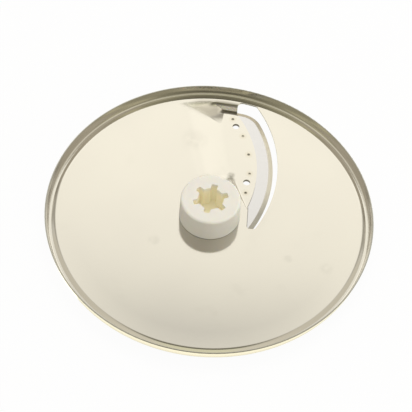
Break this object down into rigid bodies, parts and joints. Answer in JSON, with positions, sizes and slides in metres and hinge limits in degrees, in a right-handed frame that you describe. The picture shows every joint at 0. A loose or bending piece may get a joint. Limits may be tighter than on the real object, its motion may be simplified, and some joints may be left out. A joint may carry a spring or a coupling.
{
  "type": "food processor disc",
  "caption": "Round stamped steel slicing disc with an upturned rim, a sunk land carrying a curved blade along a slot, and a plastic drive hub with a notched socket.",
  "frame": {"origin": "on the axis of the disc, level with the lower face of the blade, which is the lowest point", "axes": "+Z along the axis of the disc, towards the open end of the drive hub; +X from the axis towards the side of the blade"},
  "size_m": [0.1798, 0.1798, 0.0203],
  "materials": {
    "disc_steel": "polished",
    "blade_steel": "ground",
    "hub_plastic": "satin"
  },
  "bodies": {
    "root": {"disc_plate": "disc_steel", "blade": "blade_steel", "hub": "hub_plastic"}
  },
  "joints": []
}
